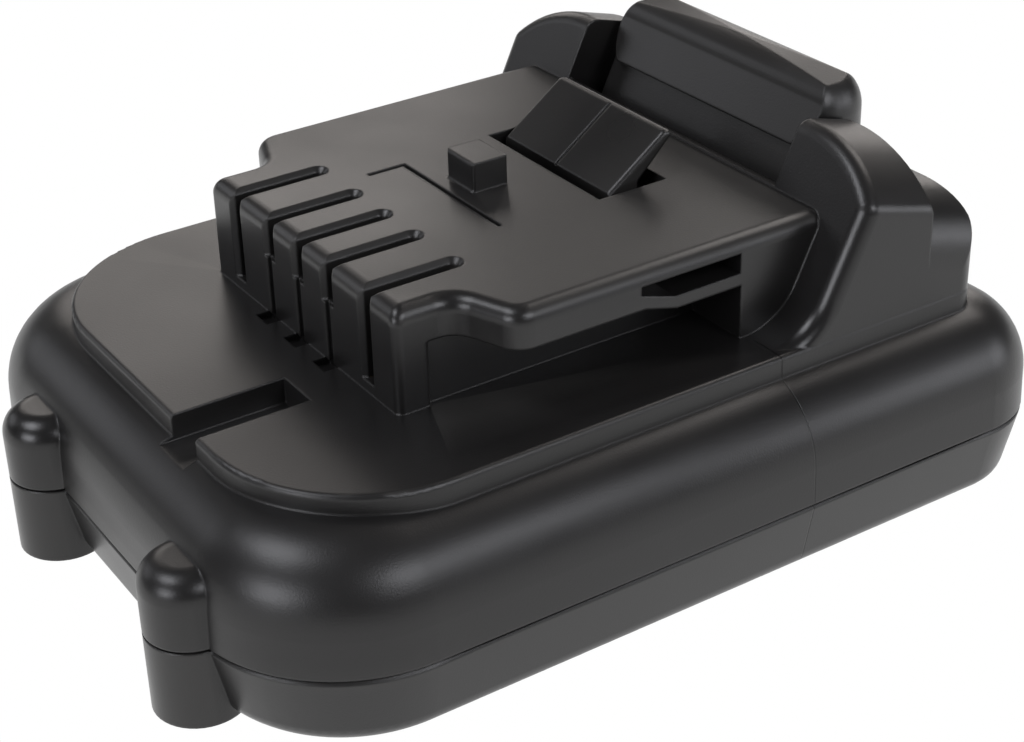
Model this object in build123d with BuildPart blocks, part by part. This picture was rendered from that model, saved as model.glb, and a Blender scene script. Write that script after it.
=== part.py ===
from build123d import *
from math import cos, hypot, pi, radians, sin, sqrt, tan
import os

os.makedirs("parts", exist_ok=True)

# A three-cell slide-on battery pack for a drill or driver.
# X is across the pack, Y runs along it from the screw posts (front) to the release button (rear),
# and Z is up. The origin is the middle of the underside. Every length is in millimetres.

# Body of the case
body_length = 94.5
body_width = 71.2
post_standout = 3.65
seam_height = 8.15
pillow_height = 20.0
platform_rise = 1.9
deck_height = pillow_height + platform_rise
pillow_radius = 8.0
front_corner_radius = 16.0
rear_corner_radius = 9.6
upper_draft = 2.0
lower_draft = 12.0
bottom_radius = 2.6
wall = 1.9
roof = 1.5
floor = 1.6
seam_bevel = 0.3
overrun = 1.0

body_rear = body_length / 2
post_front = -body_length / 2
body_front = post_front + post_standout
body_half = body_width / 2

# Raised platform on top of the body
platform_side_margin = 5.5
platform_front_margin = 6.1
platform_rear_margin = 7.85
platform_half = body_half - platform_side_margin
platform_front = body_front + platform_front_margin
platform_rear = body_rear - platform_rear_margin
platform_corner_radius = 16.0
platform_rear_radius = 2.25
platform_edge_radius = 0.5
notch_centre = 8.3
notch_half = 2.55
notch_end = -25.7
notch_depth = 2.7
notch_wall = 0.5
notch_floor = 0.6

# Terminal tower and the rail plate that slides into the tool
tower_rise = 10.6
rail_height = deck_height + tower_rise
rail_thickness = 3.9
rail_half = 24.9
rail_start = -11.8
rail_edge_radius = 1.6
rail_shoulder_radius = 2.6
tower_half = 18.3
tower_front = -20.6
tower_block_depth = 3.6
tower_panel_inset = 0.6
tower_corner_radius = 0.9
tower_wall = 1.8
rail_roof = 2.0
shoulder_start = -14.4
rail_bottom = rail_height - rail_thickness
rail_stop = 13.4

# Blade slots in the tower
slot_pitch_inner = 5.8
slot_pitch_outer = 12.8
slot_width = 1.4
slot_end = -10.35
inner_slot_depth = 4.3
outer_slot_depth = 9.5
inner_slot_bottom = rail_height - inner_slot_depth
outer_slot_bottom = rail_height - outer_slot_depth
slot_track_width = 0.9
slot_track_depth = 0.45
track_pocket_width = 2.5
track_pocket_reach = 1.4
track_pocket_depth = 0.8
track_pocket_floor = deck_height - track_pocket_depth
slot_lip = 0.5
slot_lip_angle = 45.0
slot_round_y = slot_end - slot_width / 2
slot_middle = (slot_round_y + tower_front - overrun) / 2
slot_places = (-slot_pitch_outer, -slot_pitch_inner, 0, slot_pitch_inner, slot_pitch_outer)

# Key, groove and pockets on the rail plate
key_centre_x = -1.15
key_centre_y = 0.75
key_width = 5.0
key_length = 3.9
key_height = 3.1
key_edge = 0.35
groove_width = 0.5
groove_depth = 0.45
groove_half = 9.0
groove_line = -3.2
groove_start = -7.4
pocket_depth = 5.0
pocket_start = 1.7
pocket_slope_end = 5.6
pocket_end = 13.3
pocket_roof = 1.5
pocket_step_depth = 2.4
pocket_floor_depth = 3.6
pocket_top = rail_height - pocket_roof
pocket_step = rail_height - pocket_step_depth
pocket_floor = rail_height - pocket_floor_depth
bar_start = 2.2
bar_slope_end = 5.8
bar_depth = 4.9
bar_bottom = rail_height - bar_depth

# Rear block, its two pillars and the well of the release button
block_side_margin = 0.1
block_half = platform_half - block_side_margin
block_front_angle = 64.0
block_front_foot = 23.3
sweep_radius = 7.0
pillar_rise = 6.4
pillar_crest = rail_height + pillar_rise
pillar_fall_angle = 15.6
pillar_rear = 32.6
pillar_crown_margin = 11.0
pillar_crown_start = block_half - pillar_crown_margin
pillar_crown_radius = 14.0
pillar_edge_radius = 0.8
pillar_soft_radius = 1.6
rear_step_rise = 0.8
rear_step_height = rail_height + rear_step_rise
rear_round = 4.6
rear_edge_radius = 0.65
rear_side_round = 7.4
rear_plan_round = 2.2
well_half = 17.6
well_front = 24.0
well_rear = 37.6
block_wall = 1.9
pillar_roof = 2.4

# Screw posts and bosses
post_offset = 2.3
post_spacing = 31.6
post_radius = 4.55
post_rise = 7.45
post_height = seam_height + post_rise
post_dome_radius = 2.6
post_centre_y = post_front + post_radius
rear_boss_side_margin = 9.6
rear_boss_end_margin = 8.65
rear_boss_x = body_half - rear_boss_side_margin
rear_boss_y = body_rear - rear_boss_end_margin
rear_boss_radius = 3.4
screw_radius = 1.45
screw_head_radius = 2.5
screw_head_height = 2.0
screw_length = 9.0
screw_head_top = 3.6
screw_socket_radius = 1.3
screw_socket_depth = 1.2
screw_head_chamfer = 0.4
screw_clearance = 0.15
head_clearance = 0.3
thread_clearance = 0.05

# Lithium cells
cell_radius = 9.15
cell_length = 65.0
cell_pitch = 18.6
cell_gap = 0.2
cell_edge_radius = 0.8
cell_middle = 1.5
cap_radius = 3.1
cap_height = 0.9
cap_recess = 0.3
ring_gap = 0.4
ring_thickness = 0.25
strip_thickness = 0.2
strip_width = 8.0
strip_step_height = 1.0
cell_count = 3

cell_axis_height = floor + cell_gap + cell_radius
roof_underside = deck_height - roof
cell_front = cell_middle - cell_length / 2
cell_rear = cell_middle + cell_length / 2
cap_standout = cap_height - cap_recess
notch_underside = deck_height - notch_depth - notch_floor

# Cradle ribs in the lower shell
cradle_spacing = 44.0
cradle_thickness = 1.6
cradle_height = 5.6

# Release latch
hook_half = 9.2
hook_foot_front = 9.5
hook_foot_rear = 12.9
hook_tip_front = 16.3
hook_tip_rear = 17.9
hook_tip_rise = 4.7
hook_foot_drop = 0.2
hook_tip_height = rail_height + hook_tip_rise
hook_foot_height = rail_height - hook_foot_drop
hook_edge = 0.5
hook_crease_width = 0.3
hook_crease_depth = 0.2
window_half = 9.9
window_front = 7.8
window_rear = 15.9
arm_drop = 5.9
arm_bottom = rail_height - arm_drop
arm_height = 2.4
arm_half = 12.0
button_half = 17.1
button_body_half = 16.2
lip_front = 27.7
lip_rise = 2.2
lip_bottom = rail_height + lip_rise
lip_crease_y = 30.2
lip_crease_rise = 6.3
lip_crease_z = rail_height + lip_crease_rise
lip_setback = 1.3
button_rise = 8.5
button_top = rail_height + button_rise
button_top_y = 33.0
button_rear = 37.2
button_rear_rise = 4.5
button_rear_top = rail_height + button_rear_rise
button_rear_radius = 5.0
button_top_radius = 4.2
button_arch_drop = 0.8
button_cover = 0.3
lip_end_radius = 4.4
button_edge_radius = 0.6
button_wall = 2.0
guide_width = 2.4
guide_standout = 2.0
guide_clearance = 0.15
guide_length = 7.0
guide_middle_y = 31.5
guide_drop = 2.5
guide_middle_z = rail_height - guide_drop
stop_gap = 0.2

# Latch springs, which lie along the line of travel
spring_x = 9.5
spring_seat_y = 27.8
spring_seat_rise = 0.4
spring_seat_z = deck_height + spring_seat_rise
spring_length = 12.4
spring_radius = 2.4
spring_wire_radius = 0.3
spring_turns = 7
spring_quarters = 4
spring_gap = 0.05
spring_bore_clearance = 0.4
spring_spigot_height = 1.6

# Cell holders, with a shelf over the rear one for the springs
holder_lift = 0.5
holder_bottom = floor + holder_lift
holder_top = cell_axis_height + cell_radius
holder_gap = 0.3
holder_overlap = 4.2
holder_wall = 2.4
holder_fit = 0.15
weld_opening_radius = 5.5
shelf_bottom = holder_top + cell_gap
shelf_thickness = 1.2
shelf_half = 15.4
shelf_front = 22.6
spring_seat_radius = 2.8
spring_spigot_gap = 0.3
run_width = 4.0
run_drop = 2.5
run_height = holder_top - run_drop
run_clearance = 1.0
stop_rib_thickness = 1.8
stop_rib_x = 14.0
holder_depth = holder_overlap + strip_thickness + holder_fit + holder_wall
front_holder_end = cell_front + holder_overlap - holder_depth
rear_holder_end = cell_rear - holder_overlap + holder_depth

# Circuit board, its tray and what is on it
tray_thickness = 1.3
tray_bottom = holder_top + cell_gap
board_bottom = tray_bottom + tray_thickness
board_thickness = 1.6
board_half = 15.6
board_front = -18.4
board_rear = 6.2
board_corner_radius = 1.5
riser_front = -17.0
riser_rear = 4.8
riser_clearance = 0.5
base_half = 15.2
base_front = -18.2
base_rear = -9.8
base_height = 1.8
base_edge = 0.2
clip_front = -17.6
clip_rear = -11.0
clip_top_gap = 0.6
clip_top = rail_height - rail_roof - clip_top_gap
clip_leaf = 0.5
clip_gap = 0.9
clip_flare = 0.35
clip_rib_height = 1.2
clip_split = 0.5
clip_clearance = 0.15
switch_size = (6.6, 6.1, 2.3)
switch_x = 9.6
switch_y = -3.4
chip_size = (6.0, 6.0, 0.9)
chip_y = -4.2
fuse_size = (7.4, 2.8, 1.9)
fuse_x = -8.6
fuse_y = 3.4
resistor_size = (1.25, 2.0, 0.55)
resistor_pitch = 2.4
resistor_count = 5
resistor_x = 7.0
resistor_y = 3.4
bead_radius = 1.2
bead_length = 4.0
bead_y = -6.0
bead_gap = 0.2
lead_radius = 0.3
lead_pitch = 1.6
item_chamfer_share = 0.15


def rectangle_with_corners(half, front, rear, front_radius, rear_radius):
    """Closed outline, as seen from above, whose front and rear corners have their own radii."""
    corners = [(-half, front), (half, front), (half, rear), (-half, rear)]
    radii = [front_radius, front_radius, rear_radius, rear_radius]
    with BuildLine() as outline:
        FilletPolyline(*corners, radius=radii, close=True)
    return outline.line


def body_outline(inset):
    """Outline of the case at the seam, drawn in by an inset all round."""
    return rectangle_with_corners(
        body_half - inset, body_front + inset, body_rear - inset,
        front_corner_radius - inset, rear_corner_radius - inset)


# Upper shell. Its outside is a soft pillow that carries the raised platform.
with BuildPart() as pillow:
    with BuildSketch(Plane.XY.offset(seam_height)) as pillow_plan:
        make_face(body_outline(0))
    extrude(amount=pillow_height - seam_height, taper=upper_draft)
    fillet(pillow.faces().sort_by(Axis.Z)[-1].edges(), pillow_radius)
    chamfer(pillow.faces().sort_by(Axis.Z)[0].edges(), seam_bevel)

with BuildPart() as platform:
    with BuildSketch(Plane.XY.offset(pillow_height - pillow_radius / 2)):
        make_face(rectangle_with_corners(
            platform_half, platform_front, platform_rear, platform_corner_radius, platform_rear_radius))
    extrude(amount=deck_height - pillow_height + pillow_radius / 2)
    fillet(platform.faces().sort_by(Axis.Z)[-1].edges(), platform_edge_radius)

# Outline of the tower and rail plate. The plate widens behind the tower in an S-shaped shoulder.
with BuildPart() as rail_plate:
    with BuildSketch(Plane.XY.offset(rail_bottom)):
        with BuildLine():
            FilletPolyline(
                (-tower_half, tower_front), (tower_half, tower_front),
                (tower_half, shoulder_start), (rail_half, rail_start),
                (rail_half, well_front), (-rail_half, well_front),
                (-rail_half, rail_start), (-tower_half, shoulder_start),
                radius=[tower_corner_radius, tower_corner_radius, rail_shoulder_radius, rail_shoulder_radius,
                        rail_edge_radius, rail_edge_radius, rail_shoulder_radius, rail_shoulder_radius],
                close=True)
        make_face()
    extrude(amount=rail_thickness)
    fillet(rail_plate.faces().sort_by(Axis.Z)[-1].edges(), rail_edge_radius)

with BuildPart() as tower:
    with BuildSketch(Plane.XY.offset(deck_height - overrun)):
        with BuildLine():
            FilletPolyline(
                (-tower_half, tower_front), (tower_half, tower_front),
                (tower_half, tower_front + tower_block_depth), (-tower_half, tower_front + tower_block_depth),
                radius=[tower_corner_radius, tower_corner_radius, tower_panel_inset, tower_panel_inset],
                close=True)
        make_face()
    extrude(amount=rail_bottom - deck_height + 2 * overrun)
    panel_half = tower_half - tower_panel_inset
    with BuildSketch(Plane.XY.offset(deck_height - overrun)):
        with Locations((0, (tower_front + overrun + rail_stop + overrun) / 2)):
            Rectangle(2 * panel_half, rail_stop - tower_front)
    extrude(amount=rail_bottom - deck_height + 2 * overrun)
    with BuildSketch(Plane.XY.offset(deck_height - overrun)):
        with Locations((0, (rail_stop + well_front) / 2)):
            Rectangle(2 * rail_half, well_front - rail_stop)
    extrude(amount=rail_bottom - deck_height + 2 * overrun)

# Side profile of the rear block: it sweeps up from the deck, leans back and falls to the rear.
lean = tan(radians(block_front_angle))
fall = tan(radians(pillar_fall_angle))
sweep_rise = sweep_radius * (1 - cos(radians(block_front_angle)))
sweep_run = sweep_radius * sin(radians(block_front_angle))
sweep_end_z = deck_height + sweep_rise
sweep_end_y = block_front_foot + (sweep_end_z - rail_height) / lean
sweep_start_y = sweep_end_y - sweep_run
crest_y = block_front_foot + (pillar_crest - rail_height) / lean
block_base = pillow_height - pillow_radius / 2

with BuildPart() as pillars:
    with BuildSketch(Plane.YZ.offset(-block_half)):
        with BuildLine():
            Line((sweep_start_y, block_base), (sweep_start_y, deck_height))
            TangentArc((sweep_start_y, deck_height), (sweep_end_y, sweep_end_z), tangent=(1, 0))
            Polyline(
                (sweep_end_y, sweep_end_z), (crest_y, pillar_crest),
                (pillar_rear, pillar_crest - (pillar_rear - crest_y) * fall),
                (pillar_rear, block_base), (sweep_start_y, block_base))
        make_face()
    extrude(amount=2 * block_half)

crown_start_z = pillar_crest + (crest_y - sweep_start_y) * fall
crown_drop = pillar_crown_radius - sqrt(
    pillar_crown_radius ** 2 - (block_half - pillar_crown_start) ** 2)
with BuildPart() as crown:
    with BuildSketch(Plane.XZ.offset(-sweep_start_y)):
        with BuildLine():
            crown_edge = (block_half, crown_start_z - crown_drop)
            Line((-pillar_crown_start, crown_start_z), (pillar_crown_start, crown_start_z))
            TangentArc((pillar_crown_start, crown_start_z), crown_edge, tangent=(1, 0))
            Polyline(crown_edge, (block_half, 0), (-block_half, 0), (-block_half, crown_edge[1]))
            TangentArc((-pillar_crown_start, crown_start_z), (-block_half, crown_edge[1]), tangent=(-1, 0))
        make_face()
    extrude(amount=pillar_rear - sweep_start_y + overrun, dir=(0, 1, -fall))

with BuildPart() as rear_block:
    add(pillars.part)
    add(crown.part, mode=Mode.INTERSECT)
    fillet(rear_block.edges().filter_by_position(
        Axis.Z, (deck_height + rail_height) / 2, pillar_crest).filter_by_position(
        Axis.Y, sweep_end_y, pillar_rear - overrun), pillar_soft_radius)

with BuildPart() as rear_step:
    with BuildSketch(Plane.YZ.offset(-block_half)):
        with BuildLine():
            step_rear_z = rear_step_height - (platform_rear - rear_round - pillar_rear) * fall
            FilletPolyline(
                (pillar_rear - overrun, block_base), (pillar_rear - overrun, rear_step_height),
                (platform_rear, step_rear_z), (platform_rear, block_base),
                radius=[rear_edge_radius, rear_edge_radius, rear_round, rear_edge_radius], close=True)
        make_face()
    extrude(amount=2 * block_half)
    with BuildSketch(Plane.XZ.offset(overrun - pillar_rear)):
        with BuildLine():
            FilletPolyline(
                (-block_half, 0), (block_half, 0), (block_half, rear_step_height),
                (-block_half, rear_step_height),
                radius=[rear_edge_radius, rear_edge_radius, rear_side_round, rear_side_round], close=True)
        make_face()
    extrude(amount=platform_rear - pillar_rear + 2 * overrun, dir=(0, 1, -fall), mode=Mode.INTERSECT)
    with BuildSketch(Plane.XY.offset(block_base)):
        make_face(rectangle_with_corners(
            block_half, well_front, platform_rear, rear_edge_radius, rear_plan_round))
    extrude(amount=rear_step_height - block_base, mode=Mode.INTERSECT)

# Hollow of the upper shell: the cell bay, the tower and the pillars, all open below.
with BuildPart() as upper_bay:
    with BuildSketch(Plane.XY.offset(seam_height)):
        make_face(body_outline(wall))
    extrude(amount=pillow_height - wall - seam_height, taper=upper_draft)
    fillet(upper_bay.faces().sort_by(Axis.Z)[-1].edges(), pillow_radius - wall)
    with BuildSketch(Plane.XY.offset(seam_height)):
        make_face(rectangle_with_corners(
            platform_half - wall, platform_front + wall, platform_rear - wall,
            platform_corner_radius - wall, platform_rear_radius))
    extrude(amount=roof_underside - seam_height)
    with BuildSketch(Plane.XY.offset(seam_height - overrun)):
        make_face(body_outline(wall))
    extrude(amount=overrun)

hollow_half = tower_half - tower_panel_inset - tower_wall
hollow_roof = rail_height - rail_roof
with BuildPart() as tower_hollow:
    with BuildSketch(Plane.XY.offset(roof_underside - overrun)):
        with Locations((0, (tower_front + tower_wall + rail_stop) / 2)):
            RectangleRounded(2 * hollow_half, rail_stop - tower_front - tower_wall, tower_corner_radius)
    extrude(amount=hollow_roof - roof_underside + overrun)
    with BuildSketch(Plane.XY.offset(roof_underside - overrun)):
        with Locations((0, (rail_stop - tower_wall + well_rear) / 2)):
            Rectangle(2 * well_half, well_rear - rail_stop + tower_wall)
    extrude(amount=hollow_roof - roof_underside + overrun)

# The well of the release button opens upwards. Its front wall leans with the pillars.
with BuildPart() as button_well:
    with BuildSketch(Plane.YZ.offset(-well_half)):
        well_foot = well_front - (rail_height - roof_underside) / lean
        Polygon(
            (well_front, rail_height), (well_foot, roof_underside), (well_rear, roof_underside),
            (well_rear, button_top), (sweep_start_y, button_top), (sweep_start_y, rail_height), align=None)
    extrude(amount=2 * well_half)

pocket_x = well_half + guide_standout + block_wall
with BuildPart() as pillar_hollow:
    with BuildSketch(Plane.YZ.offset(pocket_x)):
        pocket_front = sweep_end_y + block_wall + pillar_roof
        hollow_top = rear_step_height - pillar_roof
        with BuildLine():
            FilletPolyline(
                (pocket_front, roof_underside - overrun), (pocket_front, hollow_top - pillar_roof),
                (pocket_front + pillar_roof, hollow_top), (pillar_rear, hollow_top),
                (well_rear, hollow_top - rear_round), (well_rear, roof_underside - overrun),
                radius=pillar_edge_radius, close=True)
        make_face()
    extrude(amount=block_half - block_wall - pocket_x - pillar_edge_radius)
    mirror(about=Plane.YZ)

# Screw posts at the front and screw bosses inside the rear corners.
post_places = [(post_offset + side * post_spacing / 2, post_centre_y) for side in (-1, 1)]
boss_places = [(side * rear_boss_x, rear_boss_y) for side in (-1, 1)]
screw_places = post_places + boss_places
screw_head_bottom = screw_head_top - screw_head_height
screw_tip = screw_head_top + screw_length

with BuildPart() as upper_posts:
    with BuildSketch(Plane.XY.offset(seam_height)):
        with Locations(*post_places):
            Circle(post_radius)
    extrude(amount=post_height - seam_height)
    fillet(upper_posts.faces().group_by(Axis.Z)[-1].edges(), post_dome_radius)
    chamfer(upper_posts.faces().group_by(Axis.Z)[0].edges(), seam_bevel)

with BuildPart() as upper_bosses:
    with BuildSketch(Plane.XY.offset(seam_height)):
        with Locations(*boss_places):
            Circle(rear_boss_radius)
    extrude(amount=pillow_height - seam_height)
    add(pillow.part, mode=Mode.INTERSECT)

# Guide grooves of the latch lean like the pillars, one in each side wall of the well.
guide_plane = Plane(
    origin=(0, guide_middle_y, guide_middle_z), x_dir=(1, 0, 0),
    z_dir=(0, 1 / hypot(1, lean), lean / hypot(1, lean)))
groove_top = guide_length / 2 + stop_gap
groove_half_x = button_body_half + guide_standout + guide_clearance
with BuildPart() as guide_grooves:
    with BuildSketch(guide_plane.offset(-guide_middle_z)):
        Rectangle(2 * groove_half_x, guide_width + 2 * guide_clearance)
    extrude(amount=guide_middle_z + groove_top)

with BuildPart() as upper_shell:
    add(pillow.part)
    add(platform.part)
    add(tower.part)
    add(rail_plate.part)
    add(rear_block.part)
    add(rear_step.part)
    add(upper_bay.part, mode=Mode.SUBTRACT)
    add(tower_hollow.part, mode=Mode.SUBTRACT)
    add(button_well.part, mode=Mode.SUBTRACT)
    add(pillar_hollow.part, mode=Mode.SUBTRACT)
    add(guide_grooves.part, mode=Mode.SUBTRACT)
    add(upper_posts.part)
    add(upper_bosses.part)

    # Blade slots, with a shallow track and a pocket in the deck below the three inner ones
    for place in slot_places:
        outer = abs(place) > slot_pitch_inner
        bottom = outer_slot_bottom if outer else inner_slot_bottom
        with BuildSketch(Plane.XY.offset(bottom)):
            with Locations((place, slot_middle)):
                Rectangle(slot_width, slot_round_y - tower_front + overrun)
            with Locations((place, slot_round_y)):
                Circle(slot_width / 2)
        extrude(amount=rail_height - bottom + overrun, mode=Mode.SUBTRACT)

        # Bevelled lips along the top, round the end and down the front of the slot
        with BuildSketch(Plane.XZ.offset(-slot_round_y)):
            Polygon(
                (place - slot_width / 2, rail_height - slot_lip),
                (place + slot_width / 2, rail_height - slot_lip),
                (place + slot_width / 2 + 2 * slot_lip, rail_height + slot_lip),
                (place - slot_width / 2 - 2 * slot_lip, rail_height + slot_lip), align=None)
        extrude(amount=slot_round_y - tower_front + overrun, mode=Mode.SUBTRACT)
        with BuildSketch(Plane.XY.offset(rail_height - slot_lip)):
            with Locations((place, slot_round_y)):
                Circle(slot_width / 2)
        extrude(amount=2 * slot_lip, taper=-slot_lip_angle, mode=Mode.SUBTRACT)
        with BuildSketch(Plane.XY.offset(bottom)):
            Polygon(
                (place - slot_width / 2, tower_front + slot_lip),
                (place - slot_width / 2 - 2 * slot_lip, tower_front - slot_lip),
                (place + slot_width / 2 + 2 * slot_lip, tower_front - slot_lip),
                (place + slot_width / 2, tower_front + slot_lip), align=None)
        extrude(amount=rail_height - bottom + overrun, mode=Mode.SUBTRACT)
        if not outer:
            with BuildSketch(Plane.XY.offset(deck_height)):
                with Locations((place, tower_front)):
                    Rectangle(slot_track_width, 2 * slot_track_depth)
            extrude(amount=bottom - deck_height, mode=Mode.SUBTRACT)
            with BuildSketch(Plane.XY.offset(track_pocket_floor)):
                with Locations((place, tower_front + (slot_track_depth - track_pocket_reach) / 2)):
                    Rectangle(track_pocket_width, slot_track_depth + track_pocket_reach)
            extrude(amount=track_pocket_depth, mode=Mode.SUBTRACT)

    # Window of the latch hook
    with BuildSketch(Plane.XY.offset(hollow_roof - overrun)):
        with Locations((0, (window_front + window_rear) / 2)):
            Rectangle(2 * window_half, window_rear - window_front)
    extrude(amount=rail_roof + 2 * overrun, mode=Mode.SUBTRACT)

    # Locating notch in the front of the platform
    with BuildSketch(Plane.XY.offset(deck_height - notch_depth)):
        with Locations((notch_centre, (notch_end + platform_front) / 2 - overrun)):
            Rectangle(2 * notch_half, notch_end - platform_front + 2 * overrun)
    extrude(amount=notch_depth + overrun, mode=Mode.SUBTRACT)
    with BuildSketch(Plane.XY.offset(notch_underside)):
        with Locations((notch_centre, (notch_end + notch_wall + platform_front) / 2)):
            Rectangle(2 * (notch_half + notch_wall), notch_end + notch_wall - platform_front)
    extrude(amount=notch_floor)
    with BuildSketch(Plane.XY.offset(notch_underside)):
        with Locations((notch_centre, (notch_end + notch_wall + platform_front) / 2)):
            Rectangle(2 * (notch_half + notch_wall), notch_end + notch_wall - platform_front)
        with Locations((notch_centre, (notch_end + platform_front) / 2)):
            Rectangle(2 * notch_half, notch_end - platform_front, mode=Mode.SUBTRACT)
    extrude(amount=deck_height - roof / 2 - notch_underside)

    # Key that stands on the rail plate
    with BuildSketch(Plane.XY.offset(rail_height - overrun)):
        with Locations((key_centre_x, key_centre_y)):
            Rectangle(key_width, key_length)
    extrude(amount=key_height + overrun)
    fillet(upper_shell.faces().filter_by_position(
        Axis.Z, rail_height + key_height / 2, pillar_crest).filter_by_position(
        Axis.X, key_centre_x - key_width, key_centre_x + key_width).sort_by(Axis.Y)[0].edges(), key_edge)

    # Fine L-shaped groove beside the slots
    with BuildSketch(Plane.XY.offset(rail_height - groove_depth)):
        with Locations((0, groove_line)):
            Rectangle(2 * groove_half, groove_width)
        with Locations((groove_width / 2 - groove_half, (groove_line + groove_start) / 2)):
            Rectangle(groove_width, groove_line - groove_start)
    extrude(amount=groove_depth + overrun, mode=Mode.SUBTRACT)

    # Stop bar and open pocket in each side of the rail plate
    for side in (-1, 1):
        with BuildSketch(Plane.YZ.offset(side * (rail_half - pocket_depth))):
            Polygon(
                (bar_start, rail_bottom + overrun), (bar_start, rail_bottom), (bar_slope_end, bar_bottom),
                (rail_stop + overrun, bar_bottom), (rail_stop + overrun, rail_bottom + overrun), align=None)
        extrude(amount=side * pocket_depth)
        with BuildSketch(Plane.YZ.offset(side * (rail_half - pocket_depth))):
            Polygon(
                (pocket_start, pocket_top), (pocket_start, pocket_step), (pocket_slope_end, pocket_floor),
                (pocket_end, pocket_floor), (pocket_end, pocket_top), align=None)
        extrude(amount=side * (pocket_depth + overrun), mode=Mode.SUBTRACT)

    # Screw pilots in the posts and bosses
    with BuildSketch(Plane.XY.offset(seam_height - overrun)):
        with Locations(*screw_places):
            Circle(screw_radius + thread_clearance)
    extrude(amount=screw_tip + screw_clearance - seam_height + overrun, mode=Mode.SUBTRACT)
upper_shell.part.label = "upper_shell"
export_step(upper_shell.part, "parts/upper_shell.step")


# Lower shell: a tray with a floor, cell cradles, the lower halves of the posts and the rear bosses.
with BuildPart() as lower_shell:
    with BuildSketch(Plane.XY.offset(seam_height)):
        make_face(body_outline(0))
    extrude(amount=-seam_height, taper=lower_draft)
    fillet(lower_shell.faces().sort_by(Axis.Z)[0].edges(), bottom_radius)
    chamfer(lower_shell.faces().sort_by(Axis.Z)[-1].edges(), seam_bevel)
    with BuildSketch(Plane.XY.offset(seam_height)):
        make_face(body_outline(wall))
    extrude(amount=floor - seam_height, taper=lower_draft, mode=Mode.SUBTRACT)

    # Cradle ribs across the floor, each with a round seat for every cell
    for side in (-1, 1):
        rib_y = cell_middle + side * cradle_spacing / 2
        with BuildSketch(Plane.XZ.offset(-rib_y - cradle_thickness / 2)):
            with Locations((0, (floor + cradle_height - overrun) / 2)):
                Rectangle(cell_count * cell_pitch, cradle_height - floor + overrun)
            with Locations((0, cell_axis_height)):
                with GridLocations(cell_pitch, 0, cell_count, 1):
                    Circle(cell_radius + cell_gap, mode=Mode.SUBTRACT)
        extrude(amount=cradle_thickness)

    # Stop ribs from both end walls to the cell holders
    rib_inset = (wall + (seam_height - floor) * tan(radians(lower_draft))) / 2
    for end_y, holder_y in ((body_front + rib_inset, front_holder_end - holder_gap),
                            (body_rear - rib_inset, rear_holder_end + holder_gap)):
        with BuildSketch(Plane.XY.offset(floor)):
            with Locations((0, (end_y + holder_y) / 2)):
                with GridLocations(2 * stop_rib_x, 0, 2, 1):
                    Rectangle(stop_rib_thickness, abs(end_y - holder_y))
        extrude(amount=seam_height - floor)
    # Posts and bosses, with a counterbore from below for each screw
    with BuildSketch():
        with Locations(*post_places):
            Circle(post_radius)
        with Locations(*boss_places):
            Circle(rear_boss_radius)
    extrude(amount=seam_height)
    with BuildSketch():
        with Locations(*screw_places):
            Circle(screw_head_radius + head_clearance)
    extrude(amount=screw_head_top, mode=Mode.SUBTRACT)
    with BuildSketch(Plane.XY.offset(screw_head_top)):
        with Locations(*screw_places):
            Circle(screw_radius + screw_clearance)
    extrude(amount=seam_height, mode=Mode.SUBTRACT)
lower_shell.part.label = "lower_shell"
export_step(lower_shell.part, "parts/lower_shell.step")


# Release latch: the button, the hook and the arm that joins them are one moulding.
travel_dir = Vector(0, 1 / hypot(1, lean), lean / hypot(1, lean))


def lean_plane(x, y, z):
    """Plane across the line of travel, through one point, with its Z axis up the line."""
    return Plane(origin=(x, y, z), x_dir=(1, 0, 0), z_dir=travel_dir)


button_body_front = lip_front + lip_setback - (lip_bottom - arm_bottom) / lean
with BuildPart() as button_cap:
    with BuildSketch(Plane.XY.offset(lip_bottom)):
        make_face(rectangle_with_corners(
            button_half, lip_front - button_cover, button_rear + button_cover,
            lip_end_radius, button_rear_radius))
    extrude(amount=button_top + button_cover - lip_bottom)
    fillet(button_cap.faces().sort_by(Axis.Z)[-1].edges(), button_top_radius)
    with BuildSketch(Plane.YZ.offset(-button_half - overrun)):
        with BuildLine():
            crease = (lip_crease_y, lip_crease_z)
            crown_point = (button_top_y, button_top)
            rear_point = (button_rear, button_rear_top)
            Polyline(rear_point, (button_rear, lip_bottom), (lip_front, lip_bottom), crease)
            TangentArc(crown_point, crease, tangent=(-1, 0))
            TangentArc(crown_point, rear_point, tangent=(1, 0))
        make_face()
    extrude(amount=2 * (button_half + overrun), mode=Mode.INTERSECT)
    with BuildSketch(Plane.XZ.offset(-button_rear - overrun)):
        with BuildLine():
            arch_end_z = button_top - button_arch_drop
            arch_half = button_half + overrun
            ThreePointArc((-arch_half, arch_end_z), (0, button_top), (arch_half, arch_end_z))
            Polyline(
                (arch_half, arch_end_z), (arch_half, lip_bottom - overrun),
                (-arch_half, lip_bottom - overrun), (-arch_half, arch_end_z))
        make_face()
    extrude(amount=button_rear - lip_front + 2 * overrun, mode=Mode.INTERSECT)

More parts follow.
